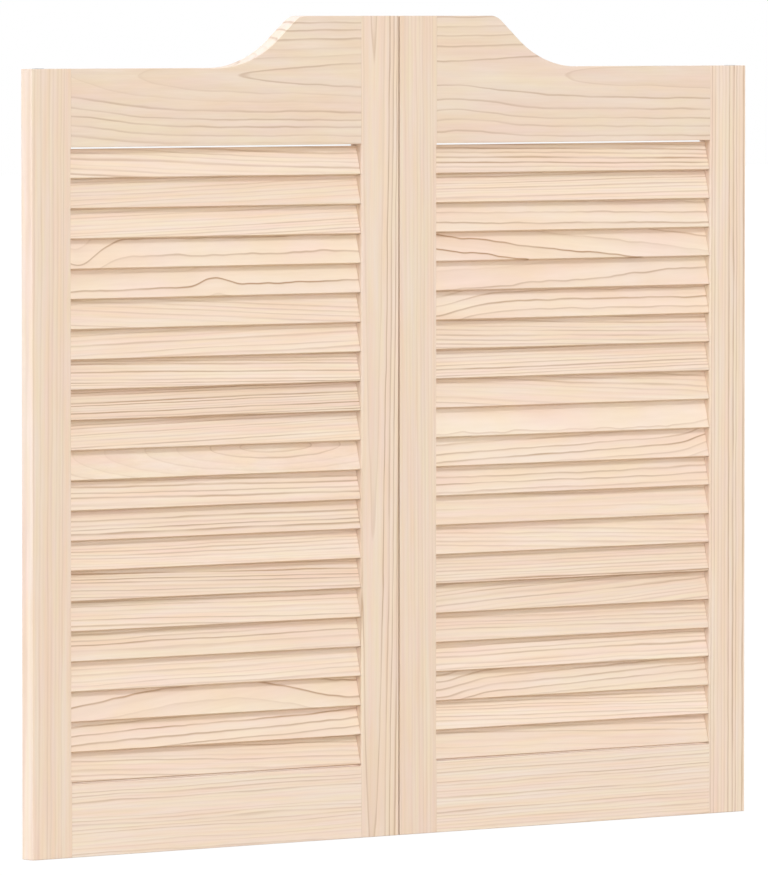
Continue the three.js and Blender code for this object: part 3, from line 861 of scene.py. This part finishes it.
def slat_bar(sketch, given, planed):
    """Bar along X with rounded edges and its own coordinates. It keeps its lower edge when it is planed."""
    width = sketch.math("SUBTRACT", given["Width"], planed)
    outline = sketch.add("GeometryNodeCurvePrimitiveQuadrilateral", given["Thickness"], width)
    rounded = sketch.add("GeometryNodeFilletCurve", mode="POLY", named={
        "Curve": outline, "Radius": given["Edge Radius"], "Count": 5,
    })
    half = sketch.math("MULTIPLY", given["Length"], 0.5)
    lowered = sketch.math("MULTIPLY", planed, -0.5)
    run = sketch.add("GeometryNodeCurvePrimitiveLine", named={
        "Start": sketch.join(sketch.math("MULTIPLY", half, -1.0), 0.0, lowered),
        "End": sketch.join(half, 0.0, lowered),
    })
    bar = sketch.add("GeometryNodeCurveToMesh", named={
        "Curve": run, "Profile Curve": rounded, "Fill Caps": True,
    })
    return sketch.add("GeometryNodeStoreNamedAttribute", data_type="FLOAT_VECTOR", domain="POINT", named={
        "Geometry": bar, "Name": "place", "Value": sketch.add("GeometryNodeInputPosition"),
    })


def slat_tree():
    """Stack of leaning bars, each with its number. The top one is planed down to clear the rail."""
    inputs = sockets("Int", "Count", "Seed") + sockets("Vector", "Middle") + sockets("Material", "Wood")
    inputs += sockets("Float", "Pitch", "Length", "Width", "Top Trim", "Thickness", "Edge Radius")
    inputs += sockets("Float", "Lean", "Lean Play")
    outputs = sockets("Geometry", "Slats")
    tree, given, wanted = node_group("Louvre slats", "GeometryNodeTree", inputs, outputs)
    sketch = Sketch(tree)
    rows = sketch.add("GeometryNodeMeshLine", named={
        "Count": given["Count"], "Start Location": given["Middle"],
        "Offset": sketch.join(0.0, 0.0, given["Pitch"]),
    })
    number = sketch.add("GeometryNodeInputIndex")
    rows = sketch.add("GeometryNodeStoreNamedAttribute", data_type="INT", domain="POINT", named={
        "Geometry": rows, "Name": "row", "Value": number,
    })
    play = sketch.add("FunctionNodeRandomValue", data_type="FLOAT", out=1)
    chance = play.node.inputs
    sketch.feed(chance[2], sketch.math("MULTIPLY", given["Lean Play"], -1.0))
    sketch.feed(chance[3], given["Lean Play"])
    sketch.feed(chance["Seed"], given["Seed"])
    turn = sketch.join(sketch.math("ADD", given["Lean"], play), 0.0, 0.0)
    on_top = sketch.math("COMPARE", number, sketch.math("SUBTRACT", given["Count"], 1.0), 0.5)
    below = sketch.math("SUBTRACT", 1.0, on_top)
    stack = sketch.tree.nodes.new("GeometryNodeJoinGeometry")
    for chosen, planed in ((below, 0.0), (on_top, given["Top Trim"])):
        bars = sketch.add("GeometryNodeInstanceOnPoints", named={
            "Points": rows, "Selection": chosen, "Rotation": turn,
            "Instance": slat_bar(sketch, given, planed),
        })
        sketch.feed(stack.inputs[0], bars)
    whole = sketch.add("GeometryNodeRealizeInstances", stack.outputs[0])
    sketch.feed(wanted["Slats"], sketch.add("GeometryNodeSetMaterial", named={
        "Geometry": whole, "Material": given["Wood"],
    }))
    return tree


class CAFE_OT_slats(bpy.types.Operator):
    """Makes the louvre slats of both leaves"""

    bl_idname = "cafe_doors.slats"
    bl_label = "Louvre slats"

    def execute(self, context):
        slats, finishes = context.scene.cafe_slats, context.scene.cafe_finishes
        material = pine("slat pine", finishes, finishes.slat_wood, (1, 0, 0))
        tree = slat_tree()
        count = len(SLAT_NODES)
        boards = slat_boards(slats.seed, count)
        for offset, side in enumerate(SIDES):
            sign = 1 if side == "left" else -1
            mesh = grown(bpy.data.meshes.new("slats"), tree, {
                "Count": count, "Pitch": SLAT_PITCH,
                "Middle": (sign * LOWEST_SLAT.x, LOWEST_SLAT.y, LOWEST_SLAT.z),
                "Length": SLAT_ENDS[1] - SLAT_ENDS[0], "Width": slat_width(slats),
                "Top Trim": top_trim(slats), "Thickness": slats.thickness, "Edge Radius": slats.edge_radius,
                "Lean": -slat_lean(slats), "Lean Play": slats.lean_play,
                "Seed": slats.seed + offset, "Wood": material,
            })
            rows = [entry.value for entry in mesh.attributes["row"].data]
            front = slats.thickness / 2
            places = [(p.vector.x, p.vector.z, p.vector.y + front) for p in mesh.attributes["place"].data]
            lay_grain(mesh, places, [boards[side, count - row] for row in rows])
            for spare in ("row", "place"):
                mesh.attributes.remove(mesh.attributes[spare])
            nodes = [name.replace("left", side) for name in SLAT_NODES]
            finish_piece(f"{side}_slats", mesh, material, f"{side}_leaf", nodes)
        return {"FINISHED"}


# Pivots

# How often the stains on metal and plastic change in a metre, and how much marks and stains shade and roughen
STAINS = (180, 180, 180)
MARK_SHADE, STAIN_SHADE = 0.25, 0.3
MARK_ROUGH, STAIN_ROUGH = 0.25, 0.15


def marks_group():
    """Fine tool marks of metal and plastic: a colour, a roughness and a height from stretched noise."""
    inputs = sockets("Vector", "Place", "Stretch") + sockets("Color", "Base") + sockets("Float", "Rough")
    group, given, wanted = node_group("Tool marks", "ShaderNodeTree", inputs, FINISH)
    sketch = Sketch(group)
    stretched = sketch.add("ShaderNodeVectorMath", given["Place"], given["Stretch"], operation="MULTIPLY")
    marks = sketch.noise(stretched, detail=3.0, roughness=0.6)
    stain = sketch.noise(sketch.add("ShaderNodeVectorMath", given["Place"], STAINS, operation="MULTIPLY"))
    shade = sketch.math("MULTIPLY_ADD", stain, STAIN_SHADE, 1.0)
    shade = sketch.math("MULTIPLY_ADD", marks, MARK_SHADE, shade)
    sketch.feed(wanted["Color"], sketch.mix(1.0, given["Base"], sketch.join(shade, shade, shade), "MULTIPLY"))
    rough = sketch.math("MULTIPLY_ADD", marks, MARK_ROUGH, given["Rough"])
    sketch.feed(wanted["Roughness"], sketch.math("MULTIPLY_ADD", stain, STAIN_ROUGH, rough))
    sketch.feed(wanted["Height"], marks)
    return group


def tooled(name, base, rough, metallic, stretch):
    """Metal or plastic with tool marks, which run across the longest stretch."""
    material, sketch, surface = new_material(name)
    place = sketch.add("ShaderNodeTexCoord", out=3)
    values = {"Place": place, "Stretch": stretch, "Base": (*base, 1), "Rough": rough}
    group = bpy.data.node_groups.get("Tool marks") or marks_group()
    dress(sketch, surface, group, values, strength=0.2, depth=0.05 * MM)
    surface["Metallic"].default_value = metallic
    return material


def pivot_pieces(kind, make, pivots):
    """The side, node and mesh of a kind of piece for both ends of both leaves."""
    for end in ("lower", "upper"):
        for side in SIDES:
            yield side, f"{side}_{end}_{kind}", mirrored(make(f"left_{end}_{kind}", pivots), side)


def coil_ends(pivots):
    """Heights of the coil's lowest and highest turn."""
    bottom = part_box("left_lower_bush")[1].z + pivots.wire_diameter + pivots.spring_clearance
    return bottom, bottom + pivots.spring_turns * pivots.spring_pitch


def wire_slot(pivots):
    return pivots.wire_diameter + 2 * pivots.spring_clearance


def pin_mesh(node, pivots):
    """Turned pin with a collar, a screw hole in its foot and bevelled ends."""
    low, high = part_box(node)
    upper = "upper" in node
    foot, inwards = (high.z, -1) if upper else (low.z, 1)
    collar, pin, hole = (high.x - low.x) / 2, pivots.pin_diameter / 2, pivots.hole_diameter / 2
    bevel, rise, tip = pivots.chamfer, pivots.collar_height, high.z - low.z
    profile = [
        (0, pivots.hole_depth), (hole, pivots.hole_depth), (hole, bevel), (hole + bevel, 0),
        (collar - bevel, 0), (collar, bevel), (collar, rise - bevel), (collar - bevel, rise),
        (pin, rise), (pin, tip - bevel), (pin - bevel, tip), (0, tip),
    ]
    shape = bmesh.new()
    turned(shape, [(radius, foot + inwards * depth) for radius, depth in profile], pivot_axis())
    mesh = to_mesh("pin", shape)
    if upper:
        return mesh
    floor = coil_ends(pivots)[1] - wire_slot(pivots) / 2
    slot = bmesh.new()
    across, along = wire_slot(pivots) / 2, pivots.pin_diameter
    box(slot, (pivot_axis() - along, -across, floor), (pivot_axis() + along, across, high.z + bevel))
    return carve(mesh, to_mesh("slot", slot), "DIFFERENCE")


class CAFE_OT_pins(bpy.types.Operator):
    """Makes the four pivot pins that stay on the jambs"""

    bl_idname = "cafe_doors.pins"
    bl_label = "Pivot pins"

    def execute(self, context):
        steel = context.scene.cafe_finishes.steel
        material = tooled("turned steel", steel, rough=0.34, metallic=1, stretch=(60, 60, 4000))
        for _, node, mesh in pivot_pieces("pivot_pin", pin_mesh, context.scene.cafe_pivots):
            finish_piece(node + ".steel", mesh, material, "jamb_pivots", [node])
        return {"FINISHED"}


def bush_mesh(node, pivots):
    """Ring with bevelled ends, notched as for the spring's lower leg."""
    low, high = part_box(node)
    outer, bore = (high.x - low.x) / 2, pivots.pin_diameter / 2 + pivots.running_gap
    bevel = pivots.chamfer
    profile = [
        (bore, low.z + bevel), (bore + bevel, low.z), (outer - bevel, low.z), (outer, low.z + bevel),
        (outer, high.z - bevel), (outer - bevel, high.z), (bore + bevel, high.z), (bore, high.z - bevel),
        (bore, low.z + bevel),
    ]
    shape = bmesh.new()
    turned(shape, profile, pivot_axis())
    deep = pivots.spring_leg + pivots.spring_clearance
    bottom, top = (low.z - bevel, low.z + deep) if "upper" in node else (high.z - deep, high.z + bevel)
    notch = bmesh.new()
    across = wire_slot(pivots) / 2
    box(notch, (pivot_axis(), -across, bottom), (pivot_axis() + 2 * outer, across, top))
    return carve(to_mesh("bush", shape), to_mesh("notch", notch), "DIFFERENCE")


class CAFE_OT_bushes(bpy.types.Operator):
    """Makes the bushes in the ends of the outer stiles"""

    bl_idname = "cafe_doors.bushes"
    bl_label = "Pivot bushes"

    def execute(self, context):
        nylon = context.scene.cafe_finishes.nylon
        material = tooled("moulded nylon", nylon, rough=0.48, metallic=0, stretch=(900, 900, 900))
        for side, node, mesh in pivot_pieces("bush", bush_mesh, context.scene.cafe_pivots):
            finish_piece(node + ".nylon", mesh, material, f"{side}_leaf", [node])
        return {"FINISHED"}


def bent(first, corner, last, steps=6):
    """Points of a smooth bend from the first point round a corner to the last."""
    shares = [step / steps for step in range(steps + 1)]
    return [first.lerp(corner, share).lerp(corner.lerp(last, share), share) for share in shares]


def spring_path(pivots, steps_per_turn=32):
    """The wire stands in the bush's notch, climbs round the pin and ends across the slot in its tip."""
    bottom, top = coil_ends(pivots)
    radius = (pivots.pin_diameter + pivots.wire_diameter) / 2 + pivots.spring_clearance
    bend = pivots.leg_bend
    start = bend / radius
    sweep = pivots.spring_turns * 2 * math.pi - 2 * start
    steps = pivots.spring_turns * steps_per_turn
    coil = []
    for step in range(steps + 1):
        turn = start + sweep * step / steps
        height = bottom + (top - bottom) * step / steps
        coil.append(Vector((radius * math.cos(turn), radius * math.sin(turn), height)))
    leg_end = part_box("left_lower_bush")[1].z - pivots.spring_leg
    leg = [Vector((radius, 0, leg_end))]
    leg += bent(Vector((radius, 0, bottom - bend)), Vector((radius, 0, bottom)), coil[0])[:-1]
    hook = bent(coil[-1], Vector((radius, 0, top)), Vector((radius - bend, 0, top)))[1:]
    hook.append(Vector((-pivots.pin_diameter / 2, 0, top)))
    axis = Vector((pivot_axis(), 0, 0))
    return [point + axis for point in leg + coil + hook]


def wire_tree():
    """Round wire along the edges of a mesh."""
    inputs = sockets("Geometry", "Path") + sockets("Float", "Wire Diameter") + sockets("Material", "Steel")
    tree, given, wanted = node_group("Spring wire", "GeometryNodeTree", inputs, sockets("Geometry", "Wire"))
    sketch = Sketch(tree)
    path = sketch.add("GeometryNodeMeshToCurve", given["Path"])
    radius = sketch.math("MULTIPLY", given["Wire Diameter"], 0.5)
    section = sketch.add("GeometryNodeCurvePrimitiveCircle", named={"Resolution": 10, "Radius": radius})
    wire = sketch.add("GeometryNodeCurveToMesh", named={
        "Curve": path, "Profile Curve": section, "Fill Caps": True,
    })
    whole = sketch.add("GeometryNodeRealizeInstances", wire)
    sketch.feed(wanted["Wire"], sketch.add("GeometryNodeSetMaterial", named={
        "Geometry": whole, "Material": given["Steel"],
    }))
    return tree


class CAFE_OT_springs(bpy.types.Operator):
    """Makes the return springs, which coil round the lower pins"""

    bl_idname = "cafe_doors.springs"
    bl_label = "Return springs"

    def execute(self, context):
        pivots = context.scene.cafe_pivots
        steel = context.scene.cafe_finishes.wire
        material = tooled("spring wire", steel, rough=0.38, metallic=1, stretch=(1400, 1400, 1400))
        tree = wire_tree()
        points = spring_path(pivots)
        bottom, top = coil_ends(pivots)
        for side in SIDES:
            path = bpy.data.meshes.new("spring path")
            path.from_pydata(points, [(index, index + 1) for index in range(len(points) - 1)], [])
            wire = grown(path, tree, {"Wire Diameter": pivots.wire_diameter, "Steel": material})
            mesh = mirrored(wire, side)
            node = f"{side}_return_spring"
            spring = finish_piece(node + ".wire", mesh, material, None, [node])
            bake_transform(spring)
        return {"FINISHED"}


# Stage

WHITE = (1, 1, 1, 1)

# The floor: the colour of the light that it throws back, and its shadowed part and its glow to the camera
FLOOR_BOUNCE = (0.48, 0.4, 0.27, 1)
FLOOR_SHADOWED = (0.16, 0.16, 0.16, 1)
FLOOR_GLOW = 0.88

# A lamp's degrees to the left of the doors' front and above the floor, its breadth in degrees and its tint
Lamp = namedtuple("Lamp", "left height breadth tint", defaults=((1, 1, 1),))
LAMPS = {
    "key": Lamp(5, 44, 10),
    "fill": Lamp(8, 8, 30),
    "side": Lamp(105, 8, 60, (0.95, 1.0, 1.12)),
    "back": Lamp(190, 15, 60),
}
LAMP_DISTANCE = 5


def make_camera(stage):
    """Camera that looks at the aimed point from the left of the front and from a little above."""
    level = math.cos(stage.pitch)
    look = Vector((math.sin(stage.yaw) * level, math.cos(stage.yaw) * level, -math.sin(stage.pitch)))
    camera = linked("camera", bpy.data.cameras.new("camera"))
    camera.data.lens = stage.lens
    camera.location = Vector((-stage.aim_across, 0, stage.aim_height)) - look * stage.distance
    camera.rotation_euler = look.to_track_quat("-Z", "Y").to_euler()
    return camera


def sees_ground(sketch):
    """One for rays from the camera and for those that mirror or pass through a surface."""
    path = sketch.add("ShaderNodeLightPath").node.outputs
    rays = [path[f"Is {kind} Ray"] for kind in ("Camera", "Glossy", "Transmission")]
    return sketch.math("MAXIMUM", sketch.math("MAXIMUM", rays[0], rays[1]), rays[2])


def floor_material():
    """Pale floor that looks white and keeps a light shadow. It is clear from below."""
    material = bpy.data.materials.new("floor")
    material.use_nodes = True
    nodes = material.node_tree.nodes
    nodes.clear()
    sketch = Sketch(material.node_tree)
    lit = sketch.add("ShaderNodeBsdfDiffuse", FLOOR_BOUNCE)
    shadowed = sketch.add("ShaderNodeBsdfDiffuse", FLOOR_SHADOWED)
    glow = sketch.add("ShaderNodeEmission", WHITE, FLOOR_GLOW)
    seen = sketch.add("ShaderNodeAddShader", shadowed, glow)
    top = sketch.add("ShaderNodeMixShader", sees_ground(sketch), lit, seen)
    clear = sketch.add("ShaderNodeBsdfTransparent")
    below = sketch.add("ShaderNodeNewGeometry").node.outputs["Backfacing"]
    output = nodes.new("ShaderNodeOutputMaterial")
    sketch.feed(output.inputs["Surface"], sketch.add("ShaderNodeMixShader", below, top, clear))
    return material


def make_floor(size):
    shape = bmesh.new()
    bmesh.ops.create_grid(shape, x_segments=1, y_segments=1, size=size / 2)
    mesh = bpy.data.meshes.new("floor")
    shape.to_mesh(mesh)
    shape.free()
    mesh.materials.append(floor_material())
    linked("floor", mesh)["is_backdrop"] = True


def make_world(strength):
    """Even sky light, with a white ground to the camera and to reflections."""
    world = bpy.data.worlds.new("studio")
    world.use_nodes = True
    sketch = Sketch(world.node_tree)
    sky = world.node_tree.nodes["Background"]
    sky.inputs["Color"].default_value = WHITE
    sky.inputs["Strength"].default_value = strength
    white = sketch.add("ShaderNodeBackground", WHITE, 1.0)
    ground = sketch.add("ShaderNodeMixShader", sees_ground(sketch), sky.outputs[0], white)
    sketch.feed(world.node_tree.nodes["World Output"].inputs["Surface"], ground)
    bpy.context.scene.world = world


def make_sun(name, strength, lamp):
    """Distant light on the doors from a lamp's direction."""
    light = bpy.data.lights.new(name, "SUN")
    light.energy = strength
    light.color = lamp.tint
    light.angle = math.radians(lamp.breadth)
    sun = linked(name, light)
    turn, rise = math.radians(lamp.left), math.radians(lamp.height)
    towards = Vector((-math.sin(turn) * math.cos(rise), -math.cos(turn) * math.cos(rise), math.sin(rise)))
    sun.rotation_euler = towards.to_track_quat("Z", "Y").to_euler()
    sun.location = towards * LAMP_DISTANCE


class CAFE_OT_stage(bpy.types.Operator):
    """Makes the camera, the floor and the studio light"""

    bl_idname = "cafe_doors.stage"
    bl_label = "Stage"

    def execute(self, context):
        stage = context.scene.cafe_stage
        context.scene.view_settings.view_transform = "Standard"
        context.scene.camera = make_camera(stage)
        make_floor(stage.floor_size)
        make_world(stage.sky)
        for name, lamp in LAMPS.items():
            make_sun(name, getattr(stage, name), lamp)
        return {"FINISHED"}


class CAFE_PT_doors(bpy.types.Panel):
    """Lists the sizes, finishes and making steps of the doors"""

    bl_idname = "CAFE_PT_doors"
    bl_label = "Louvred cafe doors"
    bl_space_type = "VIEW_3D"
    bl_region_type = "UI"
    bl_category = "Cafe doors"

    def draw(self, context):
        for maker in MAKERS:
            self.layout.operator(maker.bl_idname)
        for name, group in GROUPS.items():
            column = self.layout.box().column()
            column.label(text=group.__doc__)
            for field in group.__annotations__:
                column.prop(getattr(context.scene, name), field)


GROUPS = {
    "cafe_boards": CafeBoardSizes,
    "cafe_slats": CafeSlatSizes,
    "cafe_pivots": CafePivotSizes,
    "cafe_finishes": CafeFinishes,
    "cafe_stage": CafeStage,
}
MAKERS = (
    CAFE_OT_stage, CAFE_OT_stiles, CAFE_OT_rails, CAFE_OT_slats, CAFE_OT_pins, CAFE_OT_bushes,
    CAFE_OT_springs,
)


def register():
    for group in (*GROUPS.values(), *MAKERS, CAFE_PT_doors):
        bpy.utils.register_class(group)
    for name, group in GROUPS.items():
        setattr(bpy.types.Scene, name, bpy.props.PointerProperty(type=group))


def unregister():
    for name in GROUPS:
        delattr(bpy.types.Scene, name)
    for group in reversed((*GROUPS.values(), *MAKERS, CAFE_PT_doors)):
        bpy.utils.unregister_class(group)


def main():
    register()
    bpy.ops.cafe_doors.stage()
    bpy.ops.cafe_doors.stiles()
    bpy.ops.cafe_doors.rails()
    bpy.ops.cafe_doors.slats()
    bpy.ops.cafe_doors.pins()
    bpy.ops.cafe_doors.bushes()
    bpy.ops.cafe_doors.springs()
    boxes = {"cad": CAD_BOX, "visual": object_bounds()}
    {name: [list(corner) for corner in corners] for name, corners in boxes.items()}


if __name__ == "__main__":
    main()
